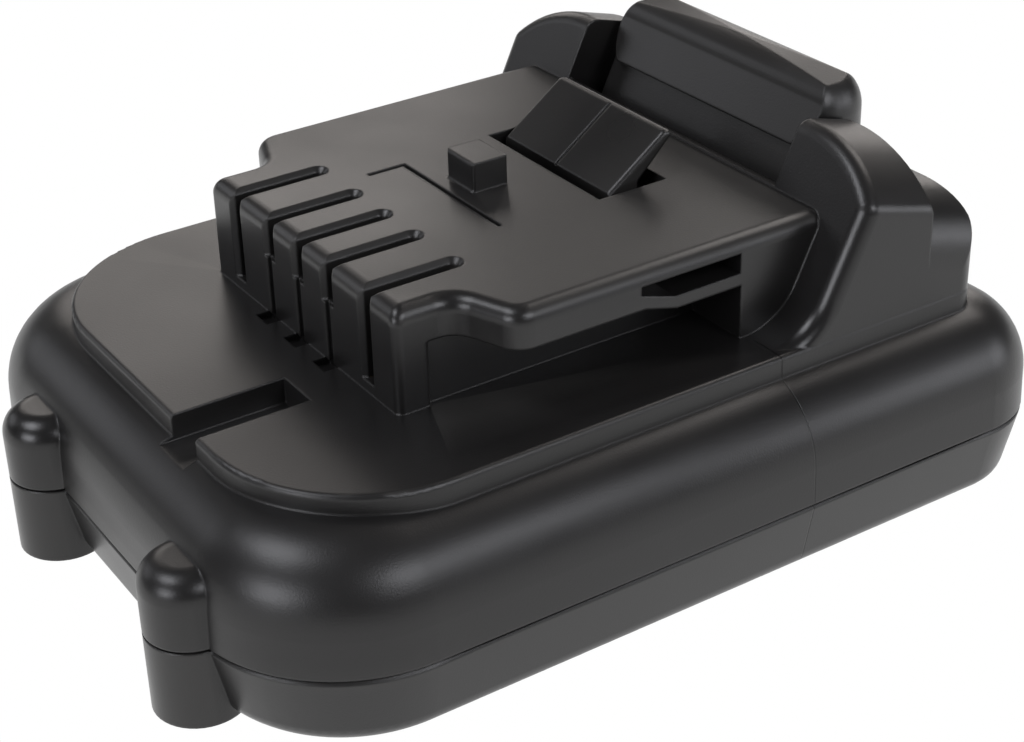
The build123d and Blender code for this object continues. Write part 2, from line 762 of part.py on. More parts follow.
hook_run = hook_tip_front - hook_foot_front
hook_climb = hook_tip_height - hook_foot_height
with BuildPart() as hook_plate:
    with BuildSketch(Plane.YZ.offset(-hook_half)):
        Polygon(
            (hook_foot_front, arm_bottom), (hook_foot_front, hook_foot_height),
            (hook_tip_front, hook_tip_height), (hook_tip_rear, hook_tip_height),
            (hook_foot_rear, hook_foot_height), (hook_foot_rear, arm_bottom), align=None)
    extrude(amount=2 * hook_half)
    fillet(hook_plate.edges().filter_by_position(
        Axis.Z, rail_height, hook_tip_height + overrun), hook_edge)
    slope = Plane(
        origin=(0, (hook_foot_front + hook_tip_front) / 2, (hook_foot_height + hook_tip_height) / 2),
        x_dir=(1, 0, 0), z_dir=(0, -hook_climb, hook_run))
    with BuildSketch(slope.offset(-hook_crease_depth)):
        Rectangle(hook_crease_width, hypot(hook_run, hook_climb))
    extrude(amount=hook_crease_depth + overrun, mode=Mode.SUBTRACT)

with BuildPart() as release_latch:
    with BuildSketch(Plane.YZ.offset(-button_body_half)):
        Polygon(
            (lip_front + lip_setback, lip_bottom), (button_body_front, arm_bottom),
            (button_rear, arm_bottom), (button_rear, lip_bottom + overrun),
            (lip_front + lip_setback, lip_bottom + overrun), align=None)
    extrude(amount=2 * button_body_half)
    with BuildSketch(Plane.XY.offset(arm_bottom)):
        make_face(rectangle_with_corners(
            button_half, hook_foot_front, button_rear, button_edge_radius, button_rear_radius))
    extrude(amount=button_top - arm_bottom, mode=Mode.INTERSECT)
    add(button_cap.part)
    with BuildSketch(Plane.XY.offset(arm_bottom)):
        with Locations((0, (hook_foot_front + button_body_front + overrun) / 2)):
            Rectangle(2 * arm_half, button_body_front + overrun - hook_foot_front)
    extrude(amount=arm_height)
    add(hook_plate.part)
    for side in (-1, 1):
        with BuildSketch(lean_plane(0, guide_middle_y, guide_middle_z).offset(-guide_length / 2)):
            with Locations((side * (button_body_half + guide_standout / 2 - overrun / 2), 0)):
                Rectangle(guide_standout + overrun, guide_width)
        extrude(amount=guide_length)
        with BuildSketch(lean_plane(side * spring_x, spring_seat_y, spring_seat_z).offset(-spring_length)):
            Circle(spring_radius + spring_wire_radius + spring_bore_clearance)
        extrude(amount=2 * spring_length + spring_gap, mode=Mode.SUBTRACT)
    with BuildSketch(Plane.XY.offset(arm_bottom)):
        with Locations((0, (button_body_front + button_rear) / 2 + button_wall)):
            Rectangle(spring_x, button_rear - button_body_front - 4 * button_wall)
    extrude(amount=lip_bottom - arm_bottom, mode=Mode.SUBTRACT)
release_latch.part.label = "release_latch"
export_step(release_latch.part, "parts/release_latch.step")


def helix_point(seat, quarter, pitch):
    """Point and heading on a spring's centre line, a number of quarter turns above its seat."""
    angle = quarter * pi / 2
    point = Vector(spring_radius * cos(angle), spring_radius * sin(angle), pitch * quarter / spring_quarters)
    heading = Vector(-spring_radius * sin(angle), spring_radius * cos(angle), pitch / (2 * pi)).normalized()
    across, along, up = seat.x_dir, seat.y_dir, seat.z_dir
    return seat.from_local_coords(point), across * heading.X + along * heading.Y + up * heading.Z


# Springs: one unbroken wire each, led by two tangent arcs for every quarter turn
spring_rise = spring_length - 2 * spring_gap - 2 * spring_wire_radius
spring_pitch = spring_rise / spring_turns
for name, side in (("latch_spring_left", -1), ("latch_spring_right", 1)):
    seat = lean_plane(side * spring_x, spring_seat_y, spring_seat_z).offset(spring_gap + spring_wire_radius)
    with BuildPart() as spring:
        with BuildLine():
            for quarter in range(spring_turns * spring_quarters):
                start, heading = helix_point(seat, quarter, spring_pitch)
                end, end_heading = helix_point(seat, quarter + 1, spring_pitch)
                chord = end - start
                spread = heading + end_heading
                bend = 2 * (1 - heading.dot(end_heading))
                reach = (sqrt(chord.dot(spread) ** 2 + bend * chord.dot(chord)) - chord.dot(spread)) / bend
                joint = (start + end + (heading - end_heading) * reach) * 0.5
                half_chord = (joint - start).normalized()
                TangentArc(start, joint, tangent=heading)
                TangentArc(joint, end, tangent=half_chord * (2 * half_chord.dot(heading)) - heading)
        with BuildSketch(Plane(origin=helix_point(seat, 0, spring_pitch)[0],
                               z_dir=helix_point(seat, 0, spring_pitch)[1])):
            Circle(spring_wire_radius)
        sweep()
    spring.part.label = name
    export_step(spring.part, f"parts/{name}.step")

spring_wire_length = spring_turns * hypot(2 * pi * spring_radius, spring_pitch)
spring_coil_gap = spring_pitch * cos(spring_pitch / (2 * pi * spring_radius)) - 2 * spring_wire_radius
print(f"latch spring: wire {spring_wire_length:.1f} mm, least gap between coils {spring_coil_gap:.2f} mm")


# Cells lie side by side and point opposite ways in turn, so that the strips join them in series.
cell_xs = [(index - (cell_count - 1) / 2) * cell_pitch for index in range(cell_count)]
for index, cell_x in enumerate(cell_xs):
    facing = -1 if index % 2 == 0 else 1
    end_y = cell_middle + facing * (cell_length / 2 - cap_standout)
    end_plane = Plane(origin=(cell_x, end_y, cell_axis_height), x_dir=(1, 0, 0), z_dir=(0, facing, 0))
    with BuildPart() as cell:
        with BuildSketch(end_plane):
            Circle(cell_radius)
        extrude(amount=cap_standout - cell_length)
        fillet(cell.edges(), cell_edge_radius)
        with BuildSketch(end_plane.offset(-cap_recess)):
            Circle(cap_radius)
        extrude(amount=cap_recess, mode=Mode.SUBTRACT)
    cell.part.label = f"cell_{index + 1}"
    export_step(cell.part, f"parts/cell_{index + 1}.step")

    with BuildPart() as cap:
        with BuildSketch(end_plane.offset(-cap_recess)):
            Circle(cap_radius)
        extrude(amount=cap_height)
        chamfer(cap.edges().sort_by(Axis.Y)[0 if facing < 0 else -1], cap_recess)
    cap.part.label = f"cell_cap_{index + 1}"
    export_step(cap.part, f"parts/cell_cap_{index + 1}.step")

    with BuildPart() as ring:
        with BuildSketch(end_plane):
            Circle(cell_radius - cell_edge_radius)
            Circle(cap_radius + ring_gap, mode=Mode.SUBTRACT)
        extrude(amount=ring_thickness)
    ring.part.label = f"cell_ring_{index + 1}"
    export_step(ring.part, f"parts/cell_ring_{index + 1}.step")


# Cell holders: a block across each end of the cells, bored for them and slotted for the strips
with BuildPart() as holder_space:
    with BuildSketch(Plane.XY.offset(holder_bottom)):
        make_face(rectangle_with_corners(
            platform_half - wall - holder_gap, platform_front + wall + holder_gap,
            platform_rear - wall - holder_gap, platform_corner_radius - wall, platform_rear_radius))
    extrude(amount=holder_top - holder_bottom)
    with BuildSketch(Plane.XY.offset(holder_bottom)):
        with Locations(*boss_places):
            Circle(rear_boss_radius + holder_gap)
    extrude(amount=holder_top - holder_bottom, mode=Mode.SUBTRACT)

# Shelf on the rear holder, with a slanted round seat and a spigot for each latch spring
with BuildPart() as spring_shelf:
    with BuildSketch(Plane.XY.offset(shelf_bottom)):
        with Locations((0, (shelf_front + rear_holder_end) / 2)):
            RectangleRounded(2 * shelf_half, rear_holder_end - shelf_front, board_corner_radius)
    extrude(amount=shelf_thickness)
    for side in (-1, 1):
        seat = lean_plane(side * spring_x, spring_seat_y, spring_seat_z)
        with BuildSketch(seat):
            Circle(spring_seat_radius)
        extrude(amount=shelf_bottom - shelf_thickness - spring_seat_z)
        with BuildSketch(seat):
            Circle(spring_radius - spring_wire_radius - spring_spigot_gap)
        extrude(amount=spring_spigot_height)
    split(bisect_by=Plane.XY.offset(shelf_bottom), keep=Keep.TOP)
    with BuildSketch(Plane.XY.offset(holder_top - shelf_thickness)):
        with Locations((0, rear_holder_end - holder_wall / 2)):
            Rectangle(2 * shelf_half, holder_wall)
    extrude(amount=shelf_bottom + shelf_thickness - holder_top + shelf_thickness)

for name, facing, end_y in (("front_cell_holder", -1, cell_front), ("rear_cell_holder", 1, cell_rear)):
    inner_y = end_y - facing * holder_overlap
    holder_plane = Plane(origin=(0, inner_y, cell_axis_height), x_dir=(1, 0, 0), z_dir=(0, facing, 0))
    with BuildPart() as holder:
        with BuildSketch(Plane.XY.offset(holder_bottom)):
            with Locations((0, inner_y + facing * holder_depth / 2)):
                Rectangle(body_width, holder_depth)
        extrude(amount=holder_top - holder_bottom)
        add(holder_space.part, mode=Mode.INTERSECT)
        with BuildSketch(holder_plane):
            with GridLocations(cell_pitch, 0, cell_count, 1):
                Circle(cell_radius + holder_fit)
        extrude(amount=holder_depth - holder_wall, mode=Mode.SUBTRACT)
        with BuildSketch(holder_plane):
            with GridLocations(cell_pitch, 0, cell_count, 1):
                Circle(weld_opening_radius)
        extrude(amount=holder_depth, mode=Mode.SUBTRACT)
        with BuildSketch(Plane.XY.offset(cell_axis_height - strip_width / 2 - run_clearance)):
            with Locations((0, inner_y + facing * (holder_depth - holder_wall) / 2)):
                with GridLocations(cell_pitch, 0, 2, 1):
                    Rectangle(run_width + 2 * run_clearance, holder_depth - holder_wall)
        extrude(amount=holder_top - cell_axis_height + strip_width / 2 + run_clearance, mode=Mode.SUBTRACT)
        if facing > 0:
            add(spring_shelf.part)
        else:
            with BuildSketch(Plane.XY.offset(notch_underside - holder_gap)):
                with Locations((notch_centre, inner_y - holder_depth / 2)):
                    Rectangle(2 * (notch_half + notch_wall + holder_gap), holder_depth)
            extrude(amount=notch_floor + notch_depth, mode=Mode.SUBTRACT)
    holder.part.label = name
    export_step(holder.part, f"parts/{name}.step")


# Nickel strips: a plate on the cell ends, a run along the valley between two cells, and a riser
# that ends at the underside of the circuit board. A plate on one cell steps over to its valley
# above the edge of the next cell.
plate_half = strip_width / 2
strip_places = (
    ("strip_positive", -1, cell_xs[0], cell_xs[0], -1),
    ("strip_link_front", -1, cell_xs[1], cell_xs[2], 1),
    ("strip_link_rear", 1, cell_xs[0], cell_xs[1], -1),
    ("strip_negative", 1, cell_xs[2], cell_xs[2], 1))
for name, facing, first_x, last_x, valley_side in strip_places:
    valley_x = valley_side * cell_pitch / 2
    end_y = cell_rear if facing > 0 else cell_front
    riser_y = riser_rear if facing > 0 else riser_front
    outer_y = end_y + facing * strip_thickness
    with BuildPart() as strip:
        with BuildSketch(Plane.XZ.offset(-max(end_y, outer_y))):
            with Locations(((first_x + last_x) / 2, cell_axis_height)):
                Rectangle(last_x - first_x + strip_width, strip_width)
            step_x = first_x if first_x == last_x else valley_x
            neck_x = step_x - valley_side * (plate_half - run_width / 2) if first_x == last_x else valley_x
            with Locations((neck_x, (cell_axis_height + run_height) / 2)):
                Rectangle(run_width, run_height - cell_axis_height)
            with Locations(((neck_x + valley_x) / 2, run_height - strip_step_height / 2)):
                Rectangle(abs(neck_x - valley_x) + run_width, strip_step_height)
        extrude(amount=strip_thickness)
        with BuildSketch(Plane.XY.offset(run_height)):
            with Locations((valley_x, (outer_y + riser_y) / 2)):
                Rectangle(run_width, abs(outer_y - riser_y))
        extrude(amount=strip_thickness)
        with BuildSketch(Plane.XY.offset(run_height)):
            with Locations((valley_x, riser_y + facing * strip_thickness / 2)):
                Rectangle(run_width, strip_thickness)
        extrude(amount=board_bottom - run_height)
    strip.part.label = name
    export_step(strip.part, f"parts/{name}.step")


# Board tray, which rests on the cells and has a slot for each riser and a hole for the leads
board_middle = (board_front + board_rear) / 2
bead_axis_height = cell_axis_height + sqrt(
    (cell_radius + bead_radius + bead_gap) ** 2 - (cell_pitch / 2) ** 2)
with BuildPart() as board_tray:
    with BuildSketch(Plane.XY.offset(tray_bottom)):
        with Locations((0, board_middle)):
            RectangleRounded(2 * board_half, board_rear - board_front, board_corner_radius)
        for riser_y in (riser_front, riser_rear):
            with Locations((0, riser_y)):
                with GridLocations(cell_pitch, 0, 2, 1):
                    Rectangle(run_width + 2 * run_clearance, 2 * riser_clearance, mode=Mode.SUBTRACT)
        with Locations((-cell_pitch / 2, bead_y)):
            Rectangle(2 * riser_clearance, lead_pitch + 4 * lead_radius + riser_clearance, mode=Mode.SUBTRACT)
    extrude(amount=board_bottom - tray_bottom)
board_tray.part.label = "board_tray"
export_step(board_tray.part, "parts/board_tray.step")

with BuildPart() as circuit_board:
    with BuildSketch(Plane.XY.offset(board_bottom)):
        with Locations((0, board_middle)):
            RectangleRounded(2 * board_half, board_rear - board_front, board_corner_radius)
    extrude(amount=board_thickness)
circuit_board.part.label = "circuit_board"
export_step(circuit_board.part, "parts/circuit_board.step")
board_top = board_bottom + board_thickness

# Terminal block, pierced for the contact clips
clip_width = 2 * clip_leaf + clip_gap
clip_middle = (clip_front + clip_rear) / 2
flare_height = clip_top - clip_rib_height
with BuildPart() as terminal_block:
    with BuildSketch(Plane.XY.offset(board_top)):
        with Locations((0, (base_front + base_rear) / 2)):
            Rectangle(2 * base_half, base_rear - base_front)
        with Locations(*[(place, clip_middle) for place in slot_places]):
            Rectangle(clip_width + 2 * clip_clearance, clip_rear - clip_front + 2 * clip_clearance,
                      mode=Mode.SUBTRACT)
    extrude(amount=base_height)
    chamfer(terminal_block.faces().sort_by(Axis.Z)[-1].outer_wire().edges(), base_edge)
terminal_block.part.label = "terminal_block"
export_step(terminal_block.part, "parts/terminal_block.step")

# Contact clips: two leaves on a foot, whose mouths flare out for the tool's blades
for index, place in enumerate(slot_places):
    with BuildPart() as clip:
        with BuildSketch(Plane.XZ.offset(-clip_rear)):
            for side in (-1, 1):
                inner = place + side * clip_gap / 2
                outer = inner + side * clip_leaf
                Polygon(
                    (inner, board_top), (inner, flare_height), (inner + side * clip_flare, clip_top),
                    (outer + side * clip_flare, clip_top), (outer, flare_height), (outer, board_top),
                    align=None)
            with Locations((place, board_top + clip_leaf / 2)):
                Rectangle(clip_width, clip_leaf)
        extrude(amount=clip_rear - clip_front)
        with BuildSketch(Plane.YZ.offset(place - clip_width)):
            with Locations((clip_middle, (board_top + base_height + clip_top) / 2)):
                Rectangle(clip_split, clip_top - board_top - base_height)
        extrude(amount=2 * clip_width, mode=Mode.SUBTRACT)
    clip.part.label = f"contact_clip_{index + 1}"
    export_step(clip.part, f"parts/contact_clip_{index + 1}.step")

# Parts soldered on the circuit board
board_items = (
    ("power_switch_left", switch_size, [(-switch_x, switch_y)]),
    ("power_switch_right", switch_size, [(switch_x, switch_y)]),
    ("controller_chip", chip_size, [(0, chip_y)]),
    ("board_fuse", fuse_size, [(fuse_x, fuse_y)]),
    ("board_resistors", resistor_size,
     [(resistor_x + (index - (resistor_count - 1) / 2) * resistor_pitch, resistor_y)
      for index in range(resistor_count)]))
for name, (across, along, high), places in board_items:
    with BuildPart() as item:
        with BuildSketch(Plane.XY.offset(board_top)):
            with Locations(*places):
                Rectangle(across, along)
        extrude(amount=high)
        chamfer(item.faces().group_by(Axis.Z)[-1].edges(), high * item_chamfer_share)
    item.part.label = name
    export_step(item.part, f"parts/{name}.step")

# Temperature sensor: a bead in the valley between two cells, with two leads up to the board
with BuildPart() as thermistor:
    with BuildSketch(Plane.XZ.offset(-bead_y - bead_length / 2)):
        with Locations((-cell_pitch / 2, bead_axis_height)):
            Circle(bead_radius)
    extrude(amount=bead_length)
    fillet(thermistor.edges().filter_by(GeomType.CIRCLE), lead_radius)
    with BuildSketch(Plane.XY.offset(bead_axis_height)):
        with Locations((-cell_pitch / 2, bead_y)):
            with GridLocations(0, lead_pitch, 1, 2):
                Circle(lead_radius)
    extrude(amount=board_bottom - bead_axis_height)
thermistor.part.label = "thermistor"
export_step(thermistor.part, "parts/thermistor.step")


# Housing screws: pan heads with a hexagonal socket, driven up from below
with BuildPart() as housing_screws:
    with BuildSketch(Plane.XY.offset(screw_head_bottom)):
        with Locations(*screw_places):
            Circle(screw_head_radius)
    extrude(amount=screw_head_height)
    chamfer(housing_screws.faces().group_by(Axis.Z)[0].edges(), screw_head_chamfer)
    with BuildSketch(Plane.XY.offset(screw_head_top)):
        with Locations(*screw_places):
            Circle(screw_radius)
    extrude(amount=screw_length)
    with BuildSketch(Plane.XY.offset(screw_head_bottom)):
        with Locations(*screw_places):
            RegularPolygon(screw_socket_radius, 6)
    extrude(amount=screw_socket_depth, mode=Mode.SUBTRACT)
housing_screws.part.label = "housing_screws"
export_step(housing_screws.part, "parts/housing_screws.step")
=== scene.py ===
import math

import bpy
from mathutils import Matrix, Vector


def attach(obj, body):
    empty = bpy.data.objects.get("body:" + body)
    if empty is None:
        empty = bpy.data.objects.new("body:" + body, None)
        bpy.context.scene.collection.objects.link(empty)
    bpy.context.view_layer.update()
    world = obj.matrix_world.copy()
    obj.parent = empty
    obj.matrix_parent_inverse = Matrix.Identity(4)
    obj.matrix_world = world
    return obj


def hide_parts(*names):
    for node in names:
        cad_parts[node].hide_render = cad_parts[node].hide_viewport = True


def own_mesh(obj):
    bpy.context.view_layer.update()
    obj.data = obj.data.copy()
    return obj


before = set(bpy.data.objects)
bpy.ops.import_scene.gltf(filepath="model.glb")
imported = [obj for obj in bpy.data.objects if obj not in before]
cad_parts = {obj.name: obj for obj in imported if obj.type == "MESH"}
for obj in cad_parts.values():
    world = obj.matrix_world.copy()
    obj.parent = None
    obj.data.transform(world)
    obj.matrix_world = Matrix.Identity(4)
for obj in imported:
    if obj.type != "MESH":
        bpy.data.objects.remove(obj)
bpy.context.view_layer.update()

# Camera. The pack is seen from its front and from its right, a little above, and the lens axis is off
# the picture's middle. Its place and turn were solved from edges whose real sizes are known.
photo_width = 1024
photo_height = 742
focal_pixels = 2049.69
centre_px = 446.21
centre_py = 337.96
sensor_width_mm = 36.0
nearest_seen = 0.01
farthest_seen = 10.0
camera_place = Vector((0.15727, -0.09842, 0.11732))
camera_azimuth = math.radians(59.11)
camera_elevation = math.radians(28.78)
camera_roll = math.radians(-2.52)

back = Vector((
    math.sin(camera_azimuth) * math.cos(camera_elevation),
    -math.cos(camera_azimuth) * math.cos(camera_elevation),
    math.sin(camera_elevation)))
level_right = (-back).cross(Vector((0, 0, 1))).normalized()
level_up = level_right.cross(-back)
camera_right = math.cos(camera_roll) * level_right + math.sin(camera_roll) * level_up
camera_up = math.cos(camera_roll) * level_up - math.sin(camera_roll) * level_right

camera_data = bpy.data.cameras.new("photo_camera")
camera_data.sensor_width = sensor_width_mm
camera_data.lens = focal_pixels / photo_width * sensor_width_mm
camera_data.shift_x = (photo_width / 2 - centre_px) / photo_width
camera_data.shift_y = (centre_py - photo_height / 2) / photo_width
camera_data.clip_start = nearest_seen
camera_data.clip_end = farthest_seen
camera = bpy.data.objects.new("photo_camera", camera_data)
camera.matrix_world = Matrix((
    (camera_right.x, camera_up.x, back.x, camera_place.x),
    (camera_right.y, camera_up.y, back.y, camera_place.y),
    (camera_right.z, camera_up.z, back.z, camera_place.z),
    (0, 0, 0, 1)))
bpy.context.scene.collection.objects.link(camera)
bpy.context.scene.camera = camera
bpy.context.scene.view_settings.view_transform = "Standard"

# Studio. A pale floor runs back out of sight, large soft lamps hang round the pack, and the world
# shows white to the camera while it lights the pack only faintly. The lamps behind the pack are a
# little warmer than those in front.
world_light_strength = 0.085
floor_half = 2.0
floor_color = (0.90, 0.90, 0.90, 1)
seen_white = (1, 1, 1, 1)
seen_white_strength = 1.0
lamp_size = (0.42, 0.32)
warm_light = (1.0, 0.94, 0.90)
cool_light = (0.94, 0.95, 1.0)
lamps = (
    ("side_lamp", (0.688, 0.172, 0.554), 2.6, cool_light),
    ("low_side_lamp", (0.561, 0.669, 0.218), 1.5, cool_light),
    ("rear_lamp", (-0.146, 0.584, 0.669), 1.7, warm_light),
    ("far_lamp", (-0.776, 0.252, 0.380), 0.9, warm_light),
    ("far_rear_lamp", (-0.503, 0.692, 0.278), 1.0, warm_light),
    ("front_left_lamp", (-0.722, -0.417, 0.337), 0.45, cool_light),
    ("high_lamp", (-0.154, -0.423, 0.779), 2.9, cool_light),
    ("front_lamp", (0.200, -0.840, 0.330), 2.9, cool_light))
lamp_aim = Vector((0, 0, 0.02))

world = bpy.data.worlds.new("studio")
bpy.context.scene.world = world
world.use_nodes = True
world_tree = world.node_tree
world_tree.nodes.clear()
world_output = world_tree.nodes.new("ShaderNodeOutputWorld")
world_mix = world_tree.nodes.new("ShaderNodeMixShader")
world_light = world_tree.nodes.new("ShaderNodeBackground")
world_seen = world_tree.nodes.new("ShaderNodeBackground")
world_path = world_tree.nodes.new("ShaderNodeLightPath")
world_light.inputs["Strength"].default_value = world_light_strength
world_light.inputs["Color"].default_value = seen_white
world_seen.inputs["Strength"].default_value = seen_white_strength
world_seen.inputs["Color"].default_value = seen_white
world_tree.links.new(world_path.outputs["Is Camera Ray"], world_mix.inputs["Fac"])
world_tree.links.new(world_light.outputs["Background"], world_mix.inputs[1])
world_tree.links.new(world_seen.outputs["Background"], world_mix.inputs[2])
world_tree.links.new(world_mix.outputs["Shader"], world_output.inputs["Surface"])

for name, place, power, tint in lamps:
    lamp_data = bpy.data.lights.new(name, "AREA")
    lamp_data.shape = "RECTANGLE"
    lamp_data.size, lamp_data.size_y = lamp_size
    lamp_data.energy = power
    lamp_data.color = tint
    lamp = bpy.data.objects.new(name, lamp_data)
    lamp.location = place
    lamp.rotation_euler = (Vector(place) - lamp_aim).to_track_quat("Z", "Y").to_euler()
    bpy.context.scene.collection.objects.link(lamp)

floor_mesh = bpy.data.meshes.new("studio_floor")
floor_mesh.from_pydata(
    [(-floor_half, -floor_half, 0), (floor_half, -floor_half, 0),
     (floor_half, floor_half, 0), (-floor_half, floor_half, 0)], [], [(0, 1, 2, 3)])
floor = bpy.data.objects.new("studio_floor", floor_mesh)
bpy.context.scene.collection.objects.link(floor)
floor_material = bpy.data.materials.new("studio_floor")
floor_material.use_nodes = True
floor_tree = floor_material.node_tree
floor_tree.nodes.clear()
floor_output = floor_tree.nodes.new("ShaderNodeOutputMaterial")
floor_diffuse = floor_tree.nodes.new("ShaderNodeBsdfDiffuse")
floor_glow = floor_tree.nodes.new("ShaderNodeEmission")
floor_mix = floor_tree.nodes.new("ShaderNodeMixShader")
floor_path = floor_tree.nodes.new("ShaderNodeLightPath")
floor_diffuse.inputs["Color"].default_value = floor_color
floor_glow.inputs["Strength"].default_value = seen_white_strength
floor_glow.inputs["Color"].default_value = seen_white
floor_white = floor_tree.nodes.new("ShaderNodeMath")
floor_white.operation = "MAXIMUM"
floor_tree.links.new(floor_path.outputs["Is Camera Ray"], floor_white.inputs[0])
floor_tree.links.new(floor_path.outputs["Is Glossy Ray"], floor_white.inputs[1])
floor_tree.links.new(floor_white.outputs["Value"], floor_mix.inputs["Fac"])
floor_tree.links.new(floor_diffuse.outputs["BSDF"], floor_mix.inputs[1])
floor_tree.links.new(floor_glow.outputs["Emission"], floor_mix.inputs[2])
floor_tree.links.new(floor_mix.outputs["Shader"], floor_output.inputs["Surface"])
floor_mesh.materials.append(floor_material)

# Case. Both halves are injection moulded in charcoal plastic from tools with a spark-eroded finish, and
# four screws from below hold them together. A fine line from the tool crosses each side, its groove
# bumped in and darkened with painted shade, and crisp edges are painted a shade paler as a painted
# highlight.
case_color = (0.0095, 0.0090, 0.0090, 1)
# Painted highlight: the paler colour put on crisp edges of the case and latch.
case_edge_highlight_color = (0.022, 0.021, 0.020, 1)
case_roughness = (0.28, 0.38)
case_grain_scale = 5200.0
case_grain_detail = 3.0
case_grain_depth = 0.000012
case_cloud_scale = 38.0
case_cloud_detail = 5.0
case_cloud_shade = (0.90, 1.10)
case_edge_radius = 0.00035
edge_samples = 6
edge_wear_and_highlight_from = 0.52
edge_wear_and_highlight_to = 0.62
witness_line_y = 0.0143
witness_line_half = 0.00009
witness_line_start_x = 0.026
witness_line_depth = 0.00008
# Painted shade: how much darker the line's colour is made, for the shade in its groove.
witness_line_painted_shade = 0.45


def new_finish(name):
    """New material with its shader and the place on the object, which all patterns follow."""
    material = bpy.data.materials.new(name)
    material.use_nodes = True
    tree = material.node_tree
    where = tree.nodes.new("ShaderNodeTexCoord").outputs["Object"]
    return material, tree, tree.nodes["Principled BSDF"], where


def noise(tree, where, scale, detail=4.0, stretch=(1, 1, 1)):
    """Cloudy pattern, which may be drawn out along an axis."""
    spread = tree.nodes.new("ShaderNodeMapping")
    spread.inputs["Scale"].default_value = stretch
    pattern = tree.nodes.new("ShaderNodeTexNoise")
    pattern.inputs["Scale"].default_value = scale
    pattern.inputs["Detail"].default_value = detail
    tree.links.new(where, spread.inputs["Vector"])
    tree.links.new(spread.outputs["Vector"], pattern.inputs["Vector"])
    return pattern.outputs["Fac"]


def ramp(tree, value, low, high, start=0.3, end=0.7):
    """Turns a pattern into a range of plain values."""
    turned = tree.nodes.new("ShaderNodeMapRange")
    turned.inputs["From Min"].default_value = start
    turned.inputs["From Max"].default_value = end
    turned.inputs["To Min"].default_value = low
    turned.inputs["To Max"].default_value = high
    tree.links.new(value, turned.inputs["Value"])
    return turned.outputs["Result"]


def blend_colors(tree, factor, first, second):
    """Mix of two colours, either of which may be the output of another node."""
    mix = tree.nodes.new("ShaderNodeMix")
    mix.data_type = "RGBA"
    tree.links.new(factor, mix.inputs["Factor"])
    for socket, color in (("A", first), ("B", second)):
        if isinstance(color, tuple):
            mix.inputs[socket].default_value = color
        else:
            tree.links.new(color, mix.inputs[socket])
    return mix.outputs["Result"]


def compute(tree, operation, *values):
    """One step of arithmetic on sockets and plain numbers."""
    step = tree.nodes.new("ShaderNodeMath")
    step.operation = operation
    for index, value in enumerate(values):
        if isinstance(value, (int, float)):
            step.inputs[index].default_value = value
        else:
            tree.links.new(value, step.inputs[index])
    return step.outputs["Value"]


def relief(tree, shader, height, depth, edge_radius=0.0):
    """Bumps of a real depth, on edges that are softened first."""
    bump = tree.nodes.new("ShaderNodeBump")
    bump.inputs["Distance"].default_value = depth
    tree.links.new(height, bump.inputs["Height"])
    if edge_radius:
        softened = tree.nodes.new("ShaderNodeBevel")
        softened.samples = edge_samples
        softened.inputs["Radius"].default_value = edge_radius
        tree.links.new(softened.outputs["Normal"], bump.inputs["Normal"])
    tree.links.new(bump.outputs["Normal"], shader.inputs["Normal"])


def edge_wear_and_highlight(tree, color, edge_wear_and_highlight_color):
    """Colour that goes paler where the surface turns sharply outwards: a painted highlight on plastic,
    real wear on the screws.
    """
    geometry = tree.nodes.new("ShaderNodeNewGeometry")
    edge_wear_and_highlight_mask = ramp(tree, geometry.outputs["Pointiness"], 0, 1, edge_wear_and_highlight_from, edge_wear_and_highlight_to)
    return blend_colors(tree, edge_wear_and_highlight_mask, color, edge_wear_and_highlight_color)


def moulded_plastic(name, color, edge_wear_and_highlight_color, roughness, grain_scale, grain_depth, edge_radius, line=None):
    """Textured plastic with cloudy gloss, edges painted paler as a painted highlight and, where asked, a
    fine tool line with painted shade.
    """
    material, tree, shader, where = new_finish(name)
    clouds = noise(tree, where, case_cloud_scale, case_cloud_detail)
    tone = tree.nodes.new("ShaderNodeHueSaturation")
    tree.links.new(ramp(tree, clouds, *case_cloud_shade), tone.inputs["Value"])
    # Crisp edges are painted paler here, a painted highlight.
    tree.links.new(edge_wear_and_highlight(tree, color, edge_wear_and_highlight_color), tone.inputs["Color"])
    surface = tone.outputs["Color"]
    tree.links.new(ramp(tree, clouds, *roughness), shader.inputs["Roughness"])
    height = noise(tree, where, grain_scale, case_grain_detail)
    if line:
        line_y, line_half, start_x, depth, shade = line
        place = tree.nodes.new("ShaderNodeSeparateXYZ")
        tree.links.new(where, place.inputs["Vector"])
        offset = compute(tree, "ABSOLUTE", compute(tree, "SUBTRACT", place.outputs["Y"], line_y))
        on_line = ramp(tree, offset, 1, 0, line_half / 2, line_half)
        outside = compute(tree, "GREATER_THAN", compute(tree, "ABSOLUTE", place.outputs["X"]), start_x)
        on_line = compute(tree, "MULTIPLY", on_line, outside)
        height = compute(
            tree, "SUBTRACT", height, compute(tree, "MULTIPLY", on_line, depth / grain_depth))
        # The line's colour is darkened with painted shade for its groove; the groove itself is bumped in
        # above.
        surface = blend_colors(
            tree, on_line, surface, tuple(shade * part for part in color[:3]) + (1,))
    tree.links.new(surface, shader.inputs["Base Color"])
    relief(tree, shader, height, grain_depth, edge_radius)
    return material


def dress(material, *nodes):
    """Gives CAD nodes a material."""
    for node in nodes:
        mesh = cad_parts[node].data
        mesh.materials.clear()
        mesh.materials.append(material)


witness_line = (
    witness_line_y, witness_line_half, witness_line_start_x, witness_line_depth, witness_line_painted_shade)
dress(moulded_plastic(
    "case_plastic", case_color, case_edge_highlight_color, case_roughness, case_grain_scale, case_grain_depth,
    case_edge_radius, witness_line), "upper_shell", "lower_shell")

